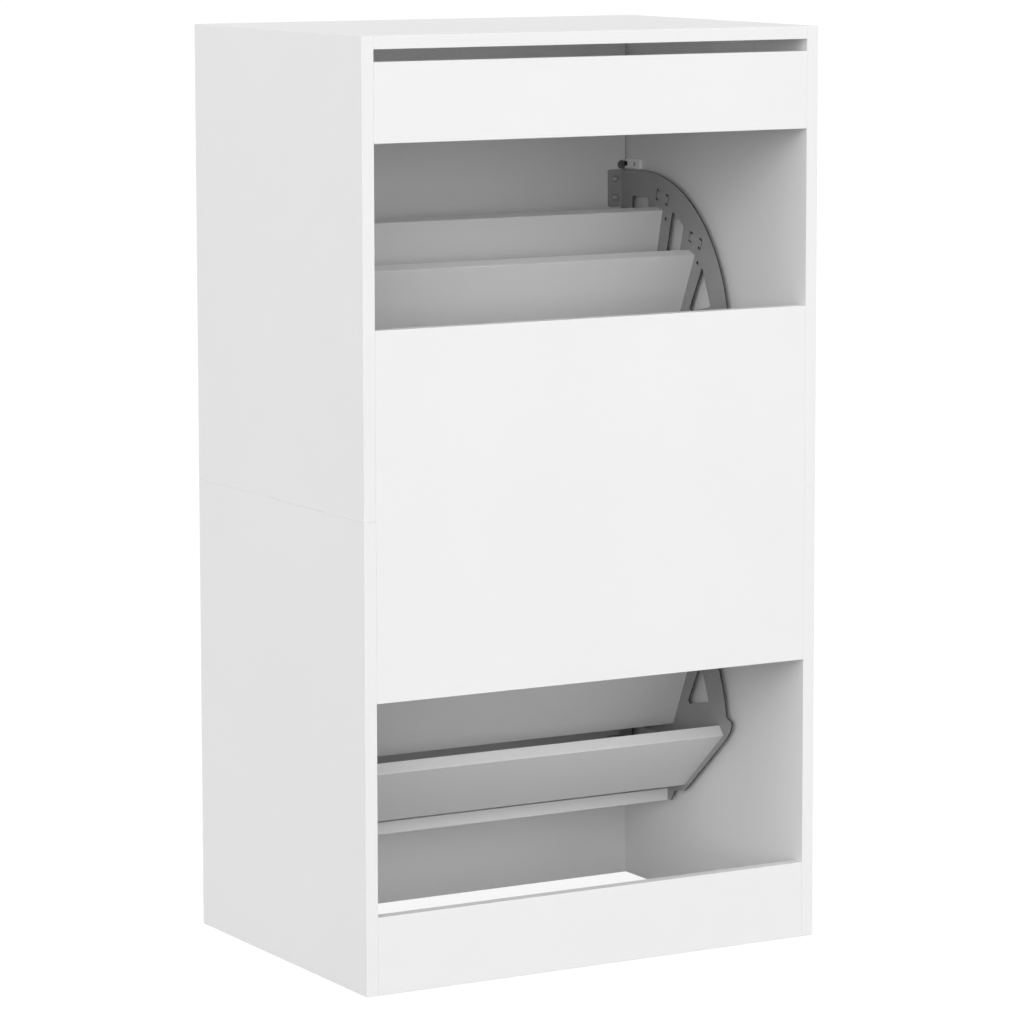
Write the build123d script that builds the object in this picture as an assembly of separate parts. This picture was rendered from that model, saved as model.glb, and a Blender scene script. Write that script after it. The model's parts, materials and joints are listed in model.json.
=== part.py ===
from build123d import *

import math
import os

# Shoe cabinet, in millimetres. The origin is on the floor under the middle of the cabinet.
# +X is the right-hand side seen from the front, -Y is the front and +Z is up.

# --- Carcass -------------------------------------------------------------------------------
WIDTH = 600
DEPTH = 420
HEIGHT = 1080
BOARD = 15
EDGE_RADIUS = 0.6
SIDE_SEAM_Z = 540
PLINTH_HEIGHT = 90
BOTTOM_RAIL_HEIGHT = 90
MIDDLE_PANEL_BOTTOM = 334
MIDDLE_PANEL_TOP = 754
TOP_RAIL_HEIGHT = 90
TOP_SLOT = 14

HALF_WIDTH = WIDTH / 2
SIDE_INNER = HALF_WIDTH - BOARD
REAR_OUTER = DEPTH / 2
REAR_INNER = REAR_OUTER - BOARD
FRONT_OUTER = -DEPTH / 2
FRONT_INNER = FRONT_OUTER + BOARD
TOP_UNDERSIDE = HEIGHT - BOARD
TOP_RAIL_TOP = TOP_UNDERSIDE - TOP_SLOT

# --- Flaps ---------------------------------------------------------------------------------
FLAP_SIDE_GAP = 2.5
FLAP_HEIGHT = 469
LOWER_FLAP_BOTTOM = 97
FLAP_PITCH = 484
FLAP_BOTTOMS = {"lower": LOWER_FLAP_BOTTOM, "upper": LOWER_FLAP_BOTTOM + FLAP_PITCH}

# --- Flap brackets: "back" runs rearward from the flap, "up" from the flap's bottom edge ------
BRACKET_INNER = 276
BRACKET_THICKNESS = 2
BRACKET_OUTER = BRACKET_INNER + BRACKET_THICKNESS
FAN_CENTRE = (55.3, 114.2)
FAN_RADIUS = 196.2
FAN_START_BACK = 32
FAN_END_UP = 143
BRACKET_BOTTOM_UP = 18
BRACKET_TOP_UP = 309
KNEE = [(254, 140.5), (259.5, 139.5), (262, 136), (259.5, 128), (249.5, 116)]
FOOT = [(160, 40), (154, 35.5), (131.5, 32), (122.5, BRACKET_BOTTOM_UP)]
CORNER_RADIUS = 1
FRONT_WINDOW = (28.3, 66.7, 205, 278.4)
FLOOR_WINDOW = (29.3, 89.5, 55, 99)
WINDOW_RADIUS = 4
REAR_WINDOW = [(104.8, 198), (121.6, 263), (126, 263), (148.3, 248.5), (134.6, 198)]
KEYSTONE_WINDOW = [(190.8, 202), (209.5, 157), (207.5, 154.5), (166.5, 146.5), (162.2, 150)]
SMALL_RADIUS = 1.5
FLANGE_REACH = 18.6
FLANGE_RADIUS = 3
BEND_RADIUS = 1.5
FLANGE_SPANS = {"head": (263, 309), "foot": (38, 80)}
FLANGE_SCREW_INSET = 11.5
CLIP_HALF_SPACING = 14
CLIP_SLOT_WIDTH = 1
CLIP_SLOT_HEIGHT = 13.6
CLIP_HOOK_LENGTH = 6
CLIP_HOOK_HEIGHT = 2.4
CLIPS = [((98.8, 280.4), -14), ((175.4, 233.1), -18)]
LOCATING_HOLES = [(107, 254.7), (180.5, 206.4)]
LOCATING_HOLE_RADIUS = 2.2

# --- Boards carried between the two brackets of a flap ---------------------------------------
DIVIDER_FRONT_TOP = (99.2, 264.5)
DIVIDER_FRONT_LEAN = 13.9
DIVIDER_REAR_TOP = (173.9, 214.9)
DIVIDER_REAR_LEAN = 25
DIVIDER_WIDTH = 110
REAR_SHELF_LOW = (154, 42.7)
REAR_SHELF_SLOPE = 40.6
REAR_SHELF_WIDTH = 118
BASE_SHELF_UP = 17
BASE_SHELF_WIDTH = 115
BOARD_SCREW_INSET = 20

# --- Pivots and stops ------------------------------------------------------------------------
PIVOT = (13, 68)
OPEN_ANGLE = 38
PIVOT_RADIUS = 4
RUNNING_CLEARANCE = 0.05
BUSH_RADIUS = 6.5
BUSH_FLANGE_RADIUS = 9
BUSH_FLANGE = 1.5
BUSH_REACH = 4
PIVOT_COLLAR_RADIUS = 8
PIVOT_COLLAR_GAP = 0.5
PIN_PLUG_RADIUS = 5
PIN_PLUG_DEPTH = 10
STOP_RADIUS_OF_TURN = 105
STOP_ANGLE = 2
STOP_PIN_RADIUS = 4
STOP_SLOT_HALF_WIDTH = 4.4
STOP_END_ANGLE = 0.4

# --- Magnetic catches ------------------------------------------------------------------------
CATCH_UP = 310.5
CATCH_HEIGHT = 12
CATCH_THICKNESS = 4.6
CATCH_LENGTH = 33
CATCH_FRONT_GAP = 4
CATCH_RECESS_LENGTH = 10.4
CATCH_RECESS_HEIGHT = 6.6
CATCH_RECESS_DEPTH = 1.4
CATCH_SCREW_BACK = 20
CATCH_SCREW_RADIUS = 1.5
CATCH_SCREW_HEAD_RADIUS = 2.6
CATCH_SCREW_HEAD_HEIGHT = 1.2
CATCH_SCREW_LENGTH = 13
MAGNET_HEIGHT = 5.4
MAGNET_SOCKET = 5
MAGNET_FACE_GAP = 0.4
MAGNET_BACKING = 0.6
STRIKE_RADIUS = 5.3
STRIKE_THICKNESS = 1.4
STRIKE_EDGE_GAP = 0.3
STRIKE_DROP = 1.5

# --- Screws, dowels and cam fasteners --------------------------------------------------------
SCREW_RADIUS = 1.75
SCREW_HEAD_RADIUS = 3.8
SCREW_HEAD_HEIGHT = 2.2
CROSS_LENGTH = 1.1
CROSS_WIDTH = 0.25
CROSS_DEPTH = 0.5
FLANGE_SCREW_LENGTH = 14
BOARD_SCREW_LENGTH = 22
DOWEL_RADIUS = 4
SEAM_DOWEL_HALF_LENGTH = 20
SEAM_DOWEL_REACH = 140
RAIL_DOWEL_DEPTH = 11
RAIL_DOWEL_INSET = 16
MIDDLE_DOWEL_INSET = 26
TOP_DOWEL_REACH = 165
CAM_RADIUS = 7.5
CAM_DEPTH = 12
CAM_FROM_END = 24
CAM_BOLT_RADIUS = 3
CAM_BOLT_PLUG = 10
TOP_CAM_REACH = 110


def block(x0, x1, y0, y1, z0, z1):
    """A plain box between two opposite corners."""
    middle = Pos((x0 + x1) / 2, (y0 + y1) / 2, (z0 + z1) / 2)
    return middle * Box(x1 - x0, y1 - y0, z1 - z0)


def board(x0, x1, y0, y1, z0, z1):
    """A laminated board with its edges just broken."""
    plain = block(x0, x1, y0, y1, z0, z1)
    return fillet(plain.edges(), EDGE_RADIUS)


def rod(start, end, radius):
    """A round bar between two points on a line along X, Y or Z."""
    axis = Vector(*end) - Vector(*start)
    plane = Plane(origin=start, z_dir=axis.normalized())
    return extrude(plane * Circle(radius), amount=axis.length)


def section(flap_bottom, x):
    """The upright plane at x whose own axes run back from the flap and up from its bottom."""
    return Plane(origin=(x, FRONT_INNER, flap_bottom), x_dir=(0, 1, 0), z_dir=(1, 0, 0))


def at(flap_bottom, x, place):
    """A point in space from its distance back from the flap and up from its bottom."""
    return (x, FRONT_INNER + place[0], flap_bottom + place[1])


def both_sides(shape):
    """The shape on the right-hand side and its mirror image on the left, as one group."""
    return Compound([*shape.solids(), *mirror(shape, Plane.YZ).solids()])


def drill(solid, tools):
    """Take every tool away from a solid."""
    for tool in tools:
        solid = solid - tool
    return solid


# --- Places along the boards -----------------------------------------------------------------
def along(start, degrees, distance):
    """The point at a distance from start in a direction measured from straight back."""
    angle = math.radians(degrees)
    return (start[0] + distance * math.cos(angle), start[1] + distance * math.sin(angle))


def slat(corner, degrees, width):
    """A board's outline: its corner, the direction of its width and 15 mm to the left of it."""
    far = along(corner, degrees, width)
    return [corner, far, along(far, degrees + 90, BOARD), along(corner, degrees + 90, BOARD)]


def slat_screws(corner, degrees, width):
    """The two screw places in the end of a board, on its middle line."""
    middle = along(corner, degrees + 90, BOARD / 2)
    places = (BOARD_SCREW_INSET, width - BOARD_SCREW_INSET)
    return [along(middle, degrees, place) for place in places]


FRONT_DIVIDER_FOOT = along(DIVIDER_FRONT_TOP, 270 - DIVIDER_FRONT_LEAN, DIVIDER_WIDTH)
REAR_DIVIDER_FOOT = along(DIVIDER_REAR_TOP, 270 - DIVIDER_REAR_LEAN, DIVIDER_WIDTH)
SLATS = {
    "front_divider": (FRONT_DIVIDER_FOOT, 90 - DIVIDER_FRONT_LEAN, DIVIDER_WIDTH),
    "rear_divider": (REAR_DIVIDER_FOOT, 90 - DIVIDER_REAR_LEAN, DIVIDER_WIDTH),
    "rear_shelf": (REAR_SHELF_LOW, REAR_SHELF_SLOPE, REAR_SHELF_WIDTH),
    "base_shelf": ((0, BASE_SHELF_UP), 0, BASE_SHELF_WIDTH),
}


# --- Bracket outline -------------------------------------------------------------------------
def fan_point(back):
    """The point of the fan's upper rim at a distance back from the flap."""
    rise = math.sqrt(FAN_RADIUS**2 - (back - FAN_CENTRE[0]) ** 2)
    return (back, FAN_CENTRE[1] + rise)


def bracket_outline():
    """The fan-shaped cheek with its knee at the back and its foot under the base shelf."""
    rim_start = fan_point(FAN_START_BACK)
    end_rise = FAN_END_UP - FAN_CENTRE[1]
    rim_end = (FAN_CENTRE[0] + math.sqrt(FAN_RADIUS**2 - end_rise**2), FAN_END_UP)
    diagonal = FAN_RADIUS / math.sqrt(2)
    rim_middle = (FAN_CENTRE[0] + diagonal, FAN_CENTRE[1] + diagonal)
    rim = ThreePointArc(rim_start, rim_middle, rim_end)
    top_corner = (0, BRACKET_TOP_UP)
    bottom_corner = (0, BRACKET_BOTTOM_UP)
    rest = Polyline(rim_end, *KNEE, *FOOT, bottom_corner, top_corner, rim_start)
    face = make_face([rim, rest])
    corners = [point for point in face.vertices() if point.X > 1 and point.Y < FAN_END_UP - 1]
    return fillet(corners, CORNER_RADIUS)


def window(corners, radius):
    """A window in the cheek with rounded corners."""
    shape = make_face(Polyline(*corners, corners[0]))
    return fillet(shape.vertices(), radius)


def upright_window(span):
    """A window from its distances back and its heights."""
    near, far, low, high = span
    return window([(near, low), (far, low), (far, high), (near, high)], WINDOW_RADIUS)


def arc_slot(centre, radius, start, end, half_width):
    """A slot of even width along an arc, with round ends; angles run from straight back."""
    ends = [along(centre, start, radius), along(centre, end, radius)]
    inner = [along(centre, angle, radius - half_width) for angle in (start, (start + end) / 2, end)]
    outer = [along(centre, angle, radius + half_width) for angle in (end, (start + end) / 2, start)]
    sides = [ThreePointArc(*inner), Line(inner[2], outer[0]), ThreePointArc(*outer)]
    band = make_face([*sides, Line(outer[2], inner[0])])
    return band + [Pos(*place) * Circle(half_width) for place in ends]


def clip(centre, tilt):
    """Two slots like a pair of square brackets, which leave a springy tab between them."""
    hook_x = CLIP_HALF_SPACING - CLIP_HOOK_LENGTH / 2
    hook_y = (CLIP_SLOT_HEIGHT - CLIP_HOOK_HEIGHT) / 2
    cuts = []
    for side in (-1, 1):
        slot = Pos(side * CLIP_HALF_SPACING, 0) * Rectangle(CLIP_SLOT_WIDTH, CLIP_SLOT_HEIGHT)
        for end in (-1, 1):
            hook = Rectangle(CLIP_HOOK_LENGTH, CLIP_HOOK_HEIGHT)
            slot = slot + Pos(side * hook_x, end * hook_y) * hook
        cuts.append(Pos(*centre) * Rot(0, 0, tilt) * slot)
    return cuts


def bracket_cuts():
    """Everything stamped out of the cheek."""
    cuts = [upright_window(FRONT_WINDOW), upright_window(FLOOR_WINDOW)]
    cuts += [window(REAR_WINDOW, SMALL_RADIUS), window(KEYSTONE_WINDOW, SMALL_RADIUS)]
    for centre, tilt in CLIPS:
        cuts += clip(centre, tilt)
    cuts += [Pos(*place) * Circle(LOCATING_HOLE_RADIUS) for place in LOCATING_HOLES]
    last = 90 - STOP_ANGLE + STOP_END_ANGLE
    first = 90 - STOP_ANGLE - OPEN_ANGLE - STOP_END_ANGLE
    cuts.append(arc_slot(PIVOT, STOP_RADIUS_OF_TURN, first, last, STOP_SLOT_HALF_WIDTH))
    return cuts


def flange(flap_bottom, low, high):
    """A flange bent inwards from the cheek, flat on the flap, with its outer corners rounded."""
    front, back = FRONT_INNER, FRONT_INNER + BRACKET_THICKNESS
    low, high = flap_bottom + low, flap_bottom + high
    flat = block(BRACKET_INNER - FLANGE_REACH, BRACKET_INNER, front, back, low, high)
    rounded = fillet(flat.edges().filter_by(Axis.Y).group_by(Axis.X)[0], FLANGE_RADIUS)
    bend = block(BRACKET_INNER - BEND_RADIUS, BRACKET_INNER, back, back + BEND_RADIUS, low, high)
    hollow = (BRACKET_INNER - BEND_RADIUS, back + BEND_RADIUS)
    return rounded + (bend - rod((*hollow, low), (*hollow, high), BEND_RADIUS))


def right_bracket(flap_bottom):
    """One right-hand bracket: the stamped cheek with its two bent flanges."""
    plane = section(flap_bottom, BRACKET_INNER)
    bracket = extrude(plane * bracket_outline(), amount=BRACKET_THICKNESS)
    for low, high in FLANGE_SPANS.values():
        bracket = bracket + flange(flap_bottom, low, high)
    cuts = bracket_cuts() + [Pos(*PIVOT) * Circle(BUSH_RADIUS)]
    tools = [extrude(plane * cut, amount=BRACKET_THICKNESS) for cut in cuts]
    return drill(bracket, tools + screw_holes(flap_bottom))


def pivot_bush(flap_bottom):
    """The right-hand plastic bush pressed into the cheek, with its flange on the inner face."""
    inner_end = at(flap_bottom, BRACKET_INNER - BUSH_REACH, PIVOT)
    flange_face = at(flap_bottom, BRACKET_INNER - BUSH_FLANGE, PIVOT)
    seat = at(flap_bottom, BRACKET_INNER, PIVOT)
    outer_end = at(flap_bottom, BRACKET_OUTER, PIVOT)
    barrel = rod(inner_end, outer_end, BUSH_RADIUS) + rod(flange_face, seat, BUSH_FLANGE_RADIUS)
    return barrel - rod(inner_end, outer_end, PIVOT_RADIUS + RUNNING_CLEARANCE)


# --- Screws that hold the boards and the flap to the brackets ---------------------------------
def board_screw_places():
    """The places of all screws through a bracket into the ends of its boards."""
    return [place for spec in SLATS.values() for place in slat_screws(*spec)]


def flange_screw_heights():
    """Two screw heights on each flange."""
    heights = []
    for low, high in FLANGE_SPANS.values():
        heights += [low + FLANGE_SCREW_INSET, high - FLANGE_SCREW_INSET]
    return heights


FLANGE_SCREW_X = BRACKET_INNER - FLANGE_REACH / 2


def screw_holes(flap_bottom):
    """Clearance-free holes for the right-hand screws, as long as their shanks."""
    holes = []
    for place in board_screw_places():
        inner = at(flap_bottom, BRACKET_OUTER - BOARD_SCREW_LENGTH, place)
        holes.append(rod(inner, at(flap_bottom, BRACKET_OUTER, place), SCREW_RADIUS))
    for height in flange_screw_heights():
        outer = at(flap_bottom, FLANGE_SCREW_X, (BRACKET_THICKNESS - FLANGE_SCREW_LENGTH, height))
        inner = at(flap_bottom, FLANGE_SCREW_X, (BRACKET_THICKNESS, height))
        holes.append(rod(outer, inner, SCREW_RADIUS))
    return holes


def screw(seat, direction, length, radius, head_radius, head_height):
    """A round-headed screw with a cross recess; the seat is the underside of its head."""
    head = rod((0, 0, 0), (0, 0, head_height), head_radius)
    domed = fillet(head.edges().group_by(Axis.Z)[-1], head_height / 2)
    long_side, short_side = CROSS_LENGTH * head_radius, CROSS_WIDTH * head_radius
    depth = CROSS_DEPTH * head_height
    for sides in ((long_side, short_side), (short_side, long_side)):
        domed = domed - Pos(0, 0, head_height) * Box(*sides, 2 * depth)
    return Plane(origin=seat, z_dir=direction) * (domed + rod((0, 0, -length), (0, 0, 0), radius))


def board_screws(flap_bottom):
    """The right-hand screws into the board ends."""
    sizes = (BOARD_SCREW_LENGTH, SCREW_RADIUS, SCREW_HEAD_RADIUS, SCREW_HEAD_HEIGHT)
    seats = [at(flap_bottom, BRACKET_OUTER, place) for place in board_screw_places()]
    return Compound([screw(seat, (1, 0, 0), *sizes) for seat in seats])


def flange_screws(flap_bottom):
    """The right-hand screws from the flanges into the flap."""
    sizes = (FLANGE_SCREW_LENGTH, SCREW_RADIUS, SCREW_HEAD_RADIUS, SCREW_HEAD_HEIGHT)
    places = [(BRACKET_THICKNESS, height) for height in flange_screw_heights()]
    seats = [at(flap_bottom, FLANGE_SCREW_X, place) for place in places]
    return Compound([screw(seat, (0, 1, 0), *sizes) for seat in seats])


# --- Flap assemblies --------------------------------------------------------------------------
def mirrored_tools(tools):
    """The right-hand cutting tools and their mirror images."""
    return tools + [mirror(tool, Plane.YZ) for tool in tools]


def flap_panel(flap_bottom):
    """The door panel, drilled for the flange screws."""
    half = SIDE_INNER - FLAP_SIDE_GAP
    top = flap_bottom + FLAP_HEIGHT
    panel = board(-half, half, FRONT_OUTER, FRONT_INNER, flap_bottom, top)
    flange_holes = screw_holes(flap_bottom)[len(board_screw_places()) :]
    return drill(panel, mirrored_tools(flange_holes))


def slat_board(flap_bottom, spec):
    """One board between the brackets, drilled at both ends."""
    outline = make_face(Polyline(*slat(*spec), slat(*spec)[0]))
    plain = extrude(section(flap_bottom, -BRACKET_INNER) * outline, amount=2 * BRACKET_INNER)
    broken = fillet(plain.edges().filter_by(Axis.X), EDGE_RADIUS)
    own = []
    for place in slat_screws(*spec):
        inner = at(flap_bottom, BRACKET_OUTER - BOARD_SCREW_LENGTH, place)
        own.append(rod(inner, at(flap_bottom, BRACKET_INNER, place), SCREW_RADIUS))
    return drill(broken, mirrored_tools(own))


def strike_plates(flap_bottom):
    """Steel discs on the flap that the magnets hold."""
    x = SIDE_INNER - FLAP_SIDE_GAP - STRIKE_EDGE_GAP - STRIKE_RADIUS
    height = CATCH_UP + CATCH_HEIGHT / 2 - STRIKE_DROP
    start = at(flap_bottom, x, (0, height))
    disc = rod(start, at(flap_bottom, x, (STRIKE_THICKNESS, height)), STRIKE_RADIUS)
    return both_sides(disc)


# --- Fittings on the side panels --------------------------------------------------------------
def stop_place():
    """Where the stop pin stands when the flap is closed."""
    return along(PIVOT, 90 - STOP_ANGLE, STOP_RADIUS_OF_TURN)


def pivot_pin(flap_bottom):
    """A right-hand pivot pin: a plug in the side panel, a collar and the journal."""
    plug_end = at(flap_bottom, SIDE_INNER + PIN_PLUG_DEPTH, PIVOT)
    wall = at(flap_bottom, SIDE_INNER, PIVOT)
    collar_end = at(flap_bottom, BRACKET_OUTER + PIVOT_COLLAR_GAP, PIVOT)
    journal_end = at(flap_bottom, BRACKET_INNER - BUSH_REACH, PIVOT)
    plug = rod(wall, plug_end, PIN_PLUG_RADIUS)
    collar = rod(collar_end, wall, PIVOT_COLLAR_RADIUS)
    return plug + collar + rod(journal_end, collar_end, PIVOT_RADIUS)


def stop_pin(flap_bottom):
    """A right-hand stop pin, flush with the bracket's inner face."""
    place = stop_place()
    plug_end = at(flap_bottom, SIDE_INNER + PIN_PLUG_DEPTH, place)
    wall = at(flap_bottom, SIDE_INNER, place)
    tip = at(flap_bottom, BRACKET_INNER, place)
    return rod(wall, plug_end, PIN_PLUG_RADIUS) + rod(tip, wall, STOP_PIN_RADIUS)


def pin_holes(flap_bottom):
    """Blind holes in the right-hand side panel for the pivot and stop pins."""
    holes = []
    for place in (PIVOT, stop_place()):
        wall = at(flap_bottom, SIDE_INNER, place)
        holes.append(rod(wall, at(flap_bottom, SIDE_INNER + PIN_PLUG_DEPTH, place), PIN_PLUG_RADIUS))
    return holes


CATCH_FACE = SIDE_INNER - CATCH_THICKNESS
CATCH_SCREW_PLACE = (CATCH_FRONT_GAP + CATCH_SCREW_BACK, CATCH_UP + CATCH_HEIGHT / 2)


def catch_screw(flap_bottom):
    """The right-hand catch's screw, its head inside the catch's oval recess."""
    seat = at(flap_bottom, CATCH_FACE + CATCH_RECESS_DEPTH, CATCH_SCREW_PLACE)
    sizes = (CATCH_SCREW_LENGTH, CATCH_SCREW_RADIUS, CATCH_SCREW_HEAD_RADIUS, CATCH_SCREW_HEAD_HEIGHT)
    return screw(seat, (-1, 0, 0), *sizes)


def catch_screw_hole(flap_bottom):
    """The hole for the shank of the right-hand catch's screw."""
    seat_x = CATCH_FACE + CATCH_RECESS_DEPTH
    seat = at(flap_bottom, seat_x, CATCH_SCREW_PLACE)
    tip = at(flap_bottom, seat_x + CATCH_SCREW_LENGTH, CATCH_SCREW_PLACE)
    return rod(seat, tip, CATCH_SCREW_RADIUS)


def magnet_space(flap_bottom, inner, front):
    """The space of the right-hand magnet, from an inner x and a front distance."""
    back = FRONT_INNER + CATCH_FRONT_GAP + MAGNET_SOCKET
    low = flap_bottom + CATCH_UP + (CATCH_HEIGHT - MAGNET_HEIGHT) / 2
    outer = SIDE_INNER - MAGNET_BACKING
    return block(inner, outer, FRONT_INNER + front, back, low, low + MAGNET_HEIGHT)


def magnet(flap_bottom):
    """The right-hand magnet, which reaches out of the catch as far as the strike."""
    return magnet_space(flap_bottom, CATCH_FACE + MAGNET_FACE_GAP, STRIKE_THICKNESS)


def catch_body(flap_bottom):
    """The right-hand catch housing, open round its magnet and recessed round its screw."""
    front = FRONT_INNER + CATCH_FRONT_GAP
    low = flap_bottom + CATCH_UP
    housing = block(CATCH_FACE, SIDE_INNER, front, front + CATCH_LENGTH, low, low + CATCH_HEIGHT)
    housing = fillet(housing.edges().filter_by(Axis.X), 1)
    oval = SlotOverall(CATCH_RECESS_LENGTH, CATCH_RECESS_HEIGHT)
    place = section(flap_bottom, CATCH_FACE) * Pos(*CATCH_SCREW_PLACE)
    recess = extrude(place * oval, amount=CATCH_RECESS_DEPTH)
    notch = magnet_space(flap_bottom, CATCH_FACE, CATCH_FRONT_GAP)
    return drill(housing, [recess, notch, catch_screw_hole(flap_bottom)])


# --- Dowels and cam fasteners -----------------------------------------------------------------
def seam_dowels():
    """Dowels across the seam of the right-hand side panels."""
    x = (SIDE_INNER + HALF_WIDTH) / 2
    low, high = SIDE_SEAM_Z - SEAM_DOWEL_HALF_LENGTH, SIDE_SEAM_Z + SEAM_DOWEL_HALF_LENGTH
    spots = (-SEAM_DOWEL_REACH, SEAM_DOWEL_REACH)
    return [rod((x, y, low), (x, y, high), DOWEL_RADIUS) for y in spots]


def end_dowels(spots):
    """Dowels across the joint between the right-hand side panel and a board's end."""
    inner, outer = SIDE_INNER - RAIL_DOWEL_DEPTH, SIDE_INNER + RAIL_DOWEL_DEPTH
    return [rod((inner, y, z), (outer, y, z), DOWEL_RADIUS) for y, z in spots]


REAR_MIDDLE = (REAR_INNER + REAR_OUTER) / 2
FRONT_MIDDLE = (FRONT_INNER + FRONT_OUTER) / 2
TOP_MIDDLE = (TOP_UNDERSIDE + HEIGHT) / 2
TOP_RAIL_BOTTOM = TOP_RAIL_TOP - TOP_RAIL_HEIGHT
MIDDLE_PANEL_DOWEL_Z = [
    MIDDLE_PANEL_BOTTOM + MIDDLE_DOWEL_INSET,
    SIDE_SEAM_Z - 2 * MIDDLE_DOWEL_INSET,
    SIDE_SEAM_Z + 2 * MIDDLE_DOWEL_INSET,
    MIDDLE_PANEL_TOP - MIDDLE_DOWEL_INSET,
]


def inset_pair(y, low, high):
    """Two fastener places in the end of a rail, near its lower and upper edges."""
    return [(y, low + RAIL_DOWEL_INSET), (y, high - RAIL_DOWEL_INSET)]


DOWEL_SPOTS = {
    "top_rail": inset_pair(REAR_MIDDLE, TOP_RAIL_BOTTOM, TOP_RAIL_TOP),
    "middle_panel": [(REAR_MIDDLE, z) for z in MIDDLE_PANEL_DOWEL_Z],
    "bottom_rail": inset_pair(REAR_MIDDLE, 0, BOTTOM_RAIL_HEIGHT),
    "plinth": inset_pair(FRONT_MIDDLE, 0, PLINTH_HEIGHT),
    "top_board": [(-TOP_DOWEL_REACH, TOP_MIDDLE), (TOP_DOWEL_REACH, TOP_MIDDLE)],
}
CAM_SPOTS = {
    "top_rail": [(REAR_MIDDLE, (TOP_RAIL_BOTTOM + TOP_RAIL_TOP) / 2)],
    "middle_panel": [(REAR_MIDDLE, MIDDLE_PANEL_BOTTOM + 4 * MIDDLE_DOWEL_INSET)]
    + [(REAR_MIDDLE, MIDDLE_PANEL_TOP - 4 * MIDDLE_DOWEL_INSET)],
    "bottom_rail": [(REAR_MIDDLE, BOTTOM_RAIL_HEIGHT / 2)],
    "plinth": [],
    "top_board": [(-TOP_CAM_REACH, TOP_MIDDLE), (TOP_CAM_REACH, TOP_MIDDLE)],
}


def cam(board_name, spot):
    """A cam housing let into a board's inner face near its right-hand end."""
    x = SIDE_INNER - CAM_FROM_END
    y, z = spot
    if board_name == "top_board":
        return rod((x, y, TOP_UNDERSIDE), (x, y, TOP_UNDERSIDE + CAM_DEPTH), CAM_RADIUS)
    return rod((x, REAR_INNER, z), (x, REAR_INNER + CAM_DEPTH, z), CAM_RADIUS)


def cam_bolt(board_name, spot):
    """The bolt from the side panel to the cam, stopping at the cam's wall."""
    y, z = spot
    start = (SIDE_INNER - CAM_FROM_END, y, z)
    full = rod(start, (SIDE_INNER + CAM_BOLT_PLUG, y, z), CAM_BOLT_RADIUS)
    return full - cam(board_name, spot)


def cams(board_name):
    """All right-hand cams of a board."""
    return [cam(board_name, spot) for spot in CAM_SPOTS[board_name]]


def cam_bolts(board_name):
    """All right-hand cam bolts of a board."""
    return [cam_bolt(board_name, spot) for spot in CAM_SPOTS[board_name]]


def carcass_board(name, y0, y1, z0, z1):
    """A board between the side panels, drilled at both ends for its fasteners."""
    plain = board(-SIDE_INNER, SIDE_INNER, y0, y1, z0, z1)
    tools = end_dowels(DOWEL_SPOTS[name]) + cams(name) + cam_bolts(name)
    return drill(plain, mirrored_tools(tools))


def right_side_panel(z0, z1, flap_bottom):
    """A right-hand side panel, drilled for the fasteners and fittings within its height."""
    panel = board(SIDE_INNER, HALF_WIDTH, FRONT_OUTER, REAR_OUTER, z0, z1)
    tools = seam_dowels() + pin_holes(flap_bottom) + [catch_screw_hole(flap_bottom)]
    for name in DOWEL_SPOTS:
        tools += end_dowels(DOWEL_SPOTS[name]) + cam_bolts(name)
    near = [tool for tool in tools if z0 < tool.center().Z < z1 or abs(tool.center().Z - SIDE_SEAM_Z) < 1]
    return drill(panel, near)


# --- Every piece by name ------------------------------------------------------------------------
os.makedirs("parts", exist_ok=True)

pieces = {}

PANEL_SPANS = {"lower": (0, SIDE_SEAM_Z), "upper": (SIDE_SEAM_Z, HEIGHT)}
for level, (low, high) in PANEL_SPANS.items():
    right = right_side_panel(low, high, FLAP_BOTTOMS[level])
    pieces[f"side_panel_right_{level}"] = right
    pieces[f"side_panel_left_{level}"] = mirror(right, Plane.YZ)

pieces["top_board"] = carcass_board("top_board", FRONT_OUTER, REAR_OUTER, TOP_UNDERSIDE, HEIGHT)
pieces["rear_rail_top"] = carcass_board(
    "top_rail", REAR_INNER, REAR_OUTER, TOP_RAIL_BOTTOM, TOP_RAIL_TOP
)
pieces["rear_panel_middle"] = carcass_board(
    "middle_panel", REAR_INNER, REAR_OUTER, MIDDLE_PANEL_BOTTOM, MIDDLE_PANEL_TOP
)
pieces["rear_rail_bottom"] = carcass_board(
    "bottom_rail", REAR_INNER, REAR_OUTER, 0, BOTTOM_RAIL_HEIGHT
)
pieces["front_plinth"] = carcass_board("plinth", FRONT_OUTER, FRONT_INNER, 0, PLINTH_HEIGHT)

pieces["seam_dowels"] = both_sides(Compound(seam_dowels()))
all_dowels = [dowel for spots in DOWEL_SPOTS.values() for dowel in end_dowels(spots)]
pieces["rail_dowels"] = both_sides(Compound(all_dowels))
pieces["cam_locks"] = both_sides(Compound([one for name in CAM_SPOTS for one in cams(name)]))
pieces["cam_bolts"] = both_sides(Compound([one for name in CAM_SPOTS for one in cam_bolts(name)]))

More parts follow.
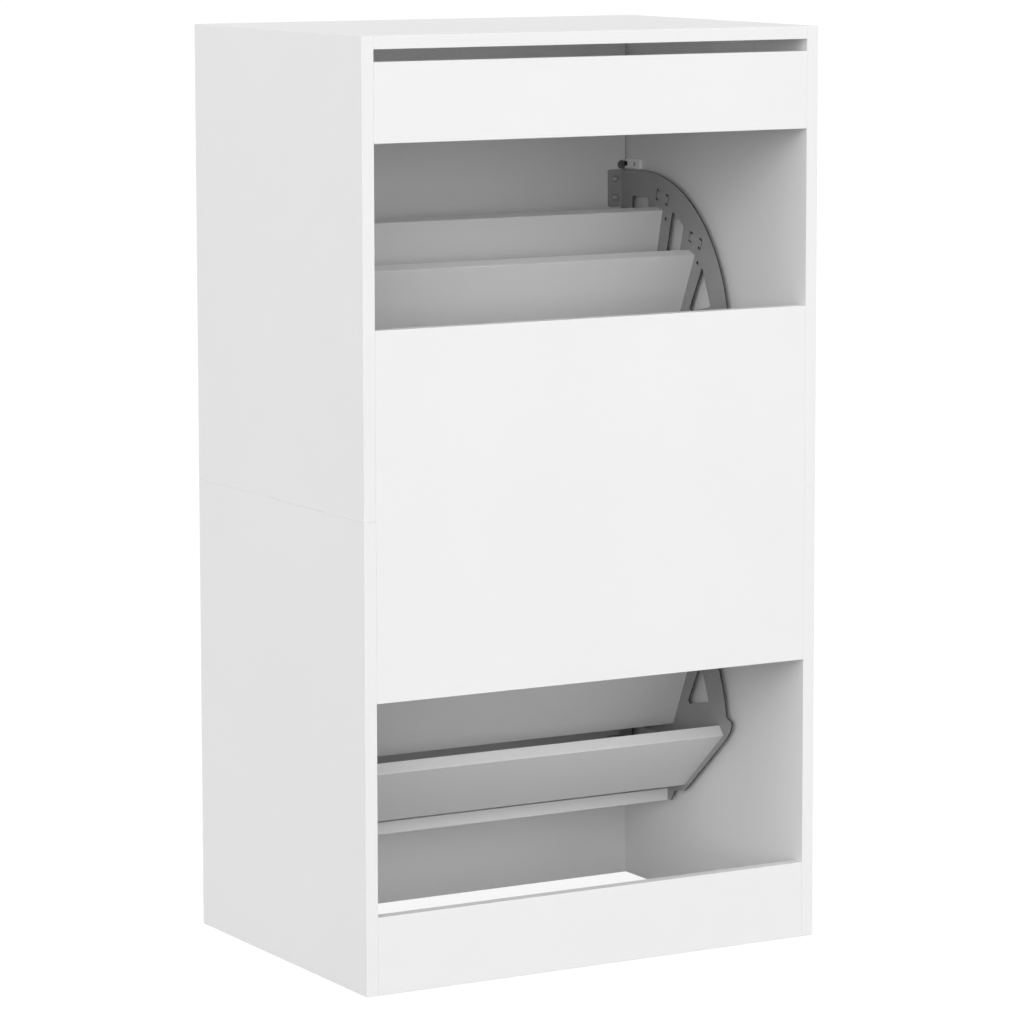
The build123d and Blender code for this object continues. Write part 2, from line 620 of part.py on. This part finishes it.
for level, bottom in FLAP_BOTTOMS.items():
    pieces[f"flap_panel_{level}"] = flap_panel(bottom)
    bracket = right_bracket(bottom)
    pieces[f"bracket_right_{level}"] = bracket
    pieces[f"bracket_left_{level}"] = mirror(bracket, Plane.YZ)
    for slat_name, slat_spec in SLATS.items():
        pieces[f"{slat_name}_{level}"] = slat_board(bottom, slat_spec)
    pieces[f"board_screws_{level}"] = both_sides(board_screws(bottom))
    pieces[f"flange_screws_{level}"] = both_sides(flange_screws(bottom))
    pieces[f"strike_plates_{level}"] = strike_plates(bottom)
    fittings = {
        "pivot_pin": pivot_pin(bottom),
        "pivot_bush": pivot_bush(bottom),
        "catch": catch_body(bottom),
    }
    for fitting_name, fitting in fittings.items():
        pieces[f"{fitting_name}_right_{level}"] = fitting
        pieces[f"{fitting_name}_left_{level}"] = mirror(fitting, Plane.YZ)
    pieces[f"stop_pins_{level}"] = both_sides(stop_pin(bottom))
    pieces[f"catch_magnets_{level}"] = both_sides(magnet(bottom))
    pieces[f"catch_screws_{level}"] = both_sides(catch_screw(bottom))

for node, shape in pieces.items():
    export_step(shape, f"parts/{node}.step")
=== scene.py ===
"""Looks of the shoe cabinet: materials, studio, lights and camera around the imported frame."""

import json
import math

import bpy
from mathutils import Euler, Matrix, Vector


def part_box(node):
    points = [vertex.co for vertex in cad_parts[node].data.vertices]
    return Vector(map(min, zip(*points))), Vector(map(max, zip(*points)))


MM = 0.001

# --- Camera: rear three-quarter view, looking slightly down -----------------------------------
CAMERA_PLACE = Vector((2.660, 4.681, 1.280))
CAMERA_YAW = 30.4
CAMERA_PITCH = 7.3
CAMERA_LENS = 161.4
CAMERA_SENSOR = 36.0
CAMERA_SHIFT = (-0.055, -0.07)
CAMERA_FAR = 100

# --- Light: each sun is (strength, azimuth from +Y towards +X, elevation) ----------------------
SKY_STRENGTH = 0.85
SUNS = {"key": (1.45, 45, 6), "side": (0.45, 72, 30), "fill": (1.1, -30, 6)}
SUN_ANGLE = 50

# --- Floor: wide enough to hide its own far edge; each floor is (tone, glow) --------------------
FLOOR_SIZE = 100
FLOOR_DROP = 2 * MM
SEEN_FLOOR = (0.15, 0.88)
BOUNCE_FLOOR = (0.4, 0.1)

# --- Materials --------------------------------------------------------------------------------
NOISE_LOW, NOISE_HIGH = 0.3, 0.7
ZINC_TINT = (0.97, 0.98, 1.0)
ZINC_CLOUD = 0.88
PLASTIC_SPREAD = 0.06
PLATE_DEPTH = 2.2 * MM
# Bracket faces whose normal points less than this across the cabinet get the painted edge shade.
SIDE_ON_LIMIT = 0.5

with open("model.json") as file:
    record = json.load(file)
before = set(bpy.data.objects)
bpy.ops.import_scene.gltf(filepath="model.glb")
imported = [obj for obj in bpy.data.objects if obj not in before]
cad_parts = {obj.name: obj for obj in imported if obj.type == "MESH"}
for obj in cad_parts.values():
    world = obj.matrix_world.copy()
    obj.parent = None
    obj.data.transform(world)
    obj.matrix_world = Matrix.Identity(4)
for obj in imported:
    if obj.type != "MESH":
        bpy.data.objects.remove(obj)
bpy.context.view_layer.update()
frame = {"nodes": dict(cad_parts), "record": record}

# The fan-shaped plates of the brackets lie further than this from the middle; only their side-on
# edges get the painted shade.
CHEEK_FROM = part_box("bracket_right_upper")[1][0] - PLATE_DEPTH


# --- Shader helpers ---------------------------------------------------------------------------
class Shader:
    """A node material with a Principled shader and a few shorthands."""

    def __init__(self, name, roughness, specular=0.5):
        self.material = bpy.data.materials.new(name)
        self.material.use_nodes = True
        self.tree = self.material.node_tree
        self.surface = self.tree.nodes["Principled BSDF"]
        self.surface.inputs["Roughness"].default_value = roughness
        self.surface.inputs["Specular IOR Level"].default_value = specular
        coordinates = self.tree.nodes.new("ShaderNodeTexCoord")
        self.place = coordinates.outputs["Object"]
        self.normal = coordinates.outputs["Normal"]

    def node(self, kind, **settings):
        made = self.tree.nodes.new(kind)
        for key, value in settings.items():
            setattr(made, key, value)
        return made

    def link(self, source, target):
        self.tree.links.new(source, target)

    def stretched(self, scale):
        """Object coordinates scaled per axis."""
        mapping = self.node("ShaderNodeMapping")
        mapping.inputs["Scale"].default_value = scale
        self.link(self.place, mapping.inputs["Vector"])
        return mapping.outputs["Vector"]

    def noise(self, scale, detail=2.0, roughness=0.5, vector=None):
        """Even noise; scale is in features per metre."""
        made = self.node("ShaderNodeTexNoise")
        made.inputs["Scale"].default_value = scale
        made.inputs["Detail"].default_value = detail
        made.inputs["Roughness"].default_value = roughness
        self.link(vector or self.place, made.inputs["Vector"])
        return made.outputs["Fac"]

    def ramp(self, value, *stops):
        """A colour ramp through (position, grey or colour) stops."""
        made = self.node("ShaderNodeValToRGB")
        elements = made.color_ramp.elements
        while len(elements) < len(stops):
            elements.new(0.5)
        for element, (position, tone) in zip(elements, stops):
            element.position = position
            colour = tone if isinstance(tone, tuple) else (tone, tone, tone)
            element.color = (*colour, 1)
        self.link(value, made.inputs["Fac"])
        return made.outputs["Color"]

    def spread(self, value, low, high):
        """A colour ramp over the usual range of a noise."""
        return self.ramp(value, (NOISE_LOW, low), (NOISE_HIGH, high))

    def math(self, operation, first, second):
        made = self.node("ShaderNodeMath", operation=operation)
        for index, value in enumerate((first, second)):
            if isinstance(value, (int, float)):
                made.inputs[index].default_value = value
            else:
                self.link(value, made.inputs[index])
        return made.outputs["Value"]

    def part(self, vector, axis):
        """One component of a vector."""
        made = self.node("ShaderNodeSeparateXYZ")
        self.link(vector, made.inputs["Vector"])
        return made.outputs[axis]

    def mix(self, factor, first, second):
        """The first colour where the factor is 0 and the second where it is 1."""
        made = self.node("ShaderNodeMix", data_type="RGBA")
        sockets = [socket for socket in made.inputs if socket.enabled]
        for source, socket in zip((factor, first, second), sockets):
            self.link(source, socket)
        return next(socket for socket in made.outputs if socket.enabled)

    def colour(self, output):
        self.link(output, self.surface.inputs["Base Color"])

    def rough(self, output):
        self.link(output, self.surface.inputs["Roughness"])

    def bump(self, height, distance, strength, under=None):
        """Bump of a depth in metres, on top of another bump if one is given."""
        made = self.node("ShaderNodeBump")
        made.inputs["Distance"].default_value = distance
        made.inputs["Strength"].default_value = strength
        self.link(height, made.inputs["Height"])
        if under:
            self.link(under, made.inputs["Normal"])
        self.link(made.outputs["Normal"], self.surface.inputs["Normal"])
        return made.outputs["Normal"]


def white_melamine():
    """Satin white melamine: a fine pearl texture and a trace of unevenness in tone."""
    shader = Shader("white_melamine", 0.42, 0.4)
    broad = shader.noise(5, 3)
    shader.colour(shader.spread(broad, 0.762, 0.776))
    grain = shader.noise(900, 2, 0.6)
    shader.rough(shader.spread(grain, 0.38, 0.48))
    pearl = shader.bump(grain, 0.00004, 0.35)
    shader.bump(shader.noise(60, 2), 0.00015, 0.12, pearl)
    return shader.material


def bracket_steel():
    """Mid-grey powder coat on sheet steel, with a near-black painted shade on the side-on edges
    of the fan-shaped plates.
    """
    shader = Shader("bracket_steel", 0.5, 0.35)
    face = shader.spread(shader.noise(24, 4), 0.33, 0.36)
    # Painted shade: the side-on faces of the plates, round the rim and the windows, get this
    # near-black colour in place of the grey coat.
    edge_shade = shader.spread(shader.noise(140, 3), 0.06, 0.1)
    across = shader.math("ABSOLUTE", shader.part(shader.normal, "X"), 0)
    beside = shader.math("ABSOLUTE", shader.part(shader.place, "X"), 0)
    is_side_on = shader.math("LESS_THAN", across, SIDE_ON_LIMIT)
    is_cheek = shader.math("GREATER_THAN", beside, CHEEK_FROM)
    shader.colour(shader.mix(shader.math("MULTIPLY", is_side_on, is_cheek), face, edge_shade))
    grain = shader.noise(1500, 3, 0.7)
    shader.rough(shader.spread(grain, 0.44, 0.58))
    fine = shader.bump(grain, 0.00006, 0.5)
    shader.bump(shader.noise(260, 2), 0.0001, 0.2, fine)
    return shader.material


def moulded_plastic(name, low, high, roughness):
    """Moulded plastic with a fine grain and a slightly uneven tone."""
    shader = Shader(name, roughness, 0.5)
    shader.colour(shader.spread(shader.noise(80, 2), low, high))
    grain = shader.noise(700, 2)
    shader.rough(shader.spread(grain, roughness - PLASTIC_SPREAD, roughness + PLASTIC_SPREAD))
    shader.bump(grain, 0.00003, 0.3)
    return shader.material


def zinc(name, tone):
    """Zinc-plated steel with a faint cloudy colour and fine scratches."""
    shader = Shader(name, 0.35)
    shader.surface.inputs["Metallic"].default_value = 1.0
    dark = tuple(tone * ZINC_CLOUD * part for part in ZINC_TINT)
    light = tuple(tone * part for part in ZINC_TINT)
    shader.colour(shader.ramp(shader.noise(300, 3), (0.35, dark), (0.65, light)))
    scratches = shader.noise(900, 3, 0.6, shader.stretched((1, 1, 6)))
    shader.rough(shader.spread(scratches, 0.28, 0.46))
    shader.bump(scratches, 0.00003, 0.3)
    return shader.material


def dark_steel(name, tone):
    """Blackened steel or sintered magnet."""
    shader = Shader(name, 0.5, 0.5)
    shader.surface.inputs["Metallic"].default_value = 0.6
    shader.colour(shader.spread(shader.noise(500, 3), tone * 0.8, tone * 1.3))
    shader.bump(shader.noise(1200, 3), 0.00005, 0.5)
    return shader.material


def beech():
    """Beech dowels with the grain running along them."""
    shader = Shader("beech", 0.6, 0.3)
    fibres = shader.noise(900, 4, 0.6, shader.stretched((0.05, 1, 1)))
    pale, deep = (0.66, 0.47, 0.29), (0.52, 0.34, 0.19)
    shader.colour(shader.spread(fibres, deep, pale))
    shader.bump(fibres, 0.0001, 0.5)
    return shader.material


def paint_frame():
    """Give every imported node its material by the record's slot."""
    looks = {
        "white_board": white_melamine(),
        "bracket_grey": bracket_steel(),
        "bush_plastic": moulded_plastic("bush_plastic", 0.09, 0.12, 0.45),
        "catch_plastic": moulded_plastic("catch_plastic", 0.88, 0.93, 0.3),
        "zinc_steel": zinc("zinc_steel", 0.62),
        "zinc_cam": zinc("zinc_die_cast", 0.5),
        "dark_steel": dark_steel("strike_steel", 0.16),
        "magnet": dark_steel("magnet_black", 0.04),
        "dowel_wood": beech(),
    }
    slots = {part["node"]: part["material_slot"] for part in frame["record"]["subparts"]}
    for name, node in frame["nodes"].items():
        look = looks[slots[name]]
        for material_slot in node.material_slots:
            material_slot.material = look


# --- Studio -----------------------------------------------------------------------------------
def make_floor(name, height, tone, glow):
    """A plain square floor that glows a little."""
    half = FLOOR_SIZE / 2
    mesh = bpy.data.meshes.new(name)
    plan = ((-half, -half), (half, -half), (half, half), (-half, half))
    mesh.from_pydata([(x, y, height) for x, y in plan], [], [(0, 1, 2, 3)])
    floor = bpy.data.objects.new(name, mesh)
    bpy.context.scene.collection.objects.link(floor)
    shader = Shader(name, 0.9, 0.0)
    shader.surface.inputs["Base Color"].default_value = (tone, tone, tone, 1)
    shader.surface.inputs["Emission Color"].default_value = (1, 1, 1, 1)
    shader.surface.inputs["Emission Strength"].default_value = glow
    mesh.materials.append(shader.material)
    return floor


def make_floors():
    """The white floor that shows, and a greyer one under it that alone reflects light upwards."""
    seen = make_floor("floor", 0, *SEEN_FLOOR)
    for ray in ("diffuse", "glossy", "transmission", "shadow"):
        setattr(seen, f"visible_{ray}", False)
    bounce = make_floor("floor_bounce", -FLOOR_DROP, *BOUNCE_FLOOR)
    bounce.visible_camera = False


def make_light():
    """An even white sky and three broad soft suns from behind the cabinet."""
    world = bpy.data.worlds.new("studio")
    bpy.context.scene.world = world
    world.use_nodes = True
    sky = world.node_tree.nodes["Background"]
    sky.inputs["Color"].default_value = (1, 1, 1, 1)
    sky.inputs["Strength"].default_value = SKY_STRENGTH
    for name, (strength, azimuth, elevation) in SUNS.items():
        sun = bpy.data.lights.new(name, "SUN")
        sun.energy = strength
        sun.angle = math.radians(SUN_ANGLE)
        lamp = bpy.data.objects.new(name, sun)
        bpy.context.scene.collection.objects.link(lamp)
        tilt = math.radians(90 - elevation)
        turn = math.radians(180 - azimuth)
        lamp.rotation_euler = Euler((tilt, 0, turn))


def make_camera():
    """The camera behind the cabinet, turned towards its right-hand rear edge."""
    data = bpy.data.cameras.new("camera")
    data.lens = CAMERA_LENS
    data.sensor_width = CAMERA_SENSOR
    data.shift_x, data.shift_y = CAMERA_SHIFT
    data.clip_end = CAMERA_FAR
    camera = bpy.data.objects.new("camera", data)
    bpy.context.scene.collection.objects.link(camera)
    camera.location = CAMERA_PLACE
    tilt = math.radians(90 - CAMERA_PITCH)
    turn = math.radians(180 - CAMERA_YAW)
    camera.rotation_euler = Euler((tilt, 0, turn))
    bpy.context.scene.camera = camera


paint_frame()
make_floors()
make_light()
make_camera()
bpy.context.scene.view_settings.view_transform = "Standard"
